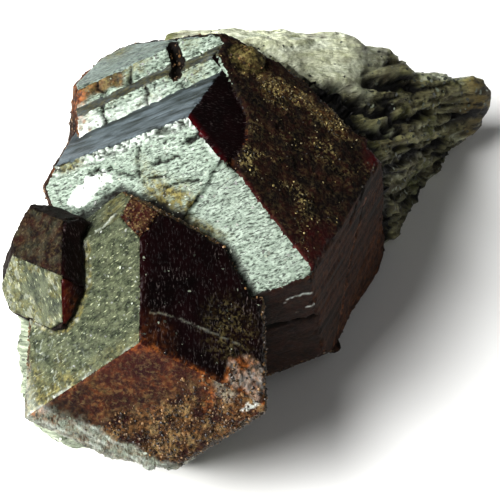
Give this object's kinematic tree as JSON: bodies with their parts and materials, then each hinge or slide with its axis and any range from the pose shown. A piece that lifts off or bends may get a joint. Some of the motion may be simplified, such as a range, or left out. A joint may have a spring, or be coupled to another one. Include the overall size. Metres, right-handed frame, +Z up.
{
  "type": "garnet in matrix",
  "caption": "Intergrown garnet crystals with flat rhombic faces and a stepped, mica-skinned growth, seated in a wedge of foliated schist with a flat underside.",
  "frame": {"origin": "on the plane of the rock's flat underside, below the middle of the specimen's bounding box", "axes": "+Z up from the flat underside; +Y to the back, where the rock is thickest; +X to the right as the crystals are faced, towards the rock's thin end"},
  "size_m": [0.0784, 0.0806, 0.0493],
  "materials": {
    "schist_matrix": null,
    "large_garnet": null,
    "front_garnet": "dark red-brown garnet, one face grey-green with mica, one near black and one granular brown",
    "small_garnet": "dark red garnet, its left faces dulled by mica"
  },
  "bodies": {
    "root": {"schist_matrix": "schist_matrix", "large_garnet": "large_garnet", "front_garnet": "front_garnet", "small_garnet": "small_garnet"}
  },
  "joints": []
}
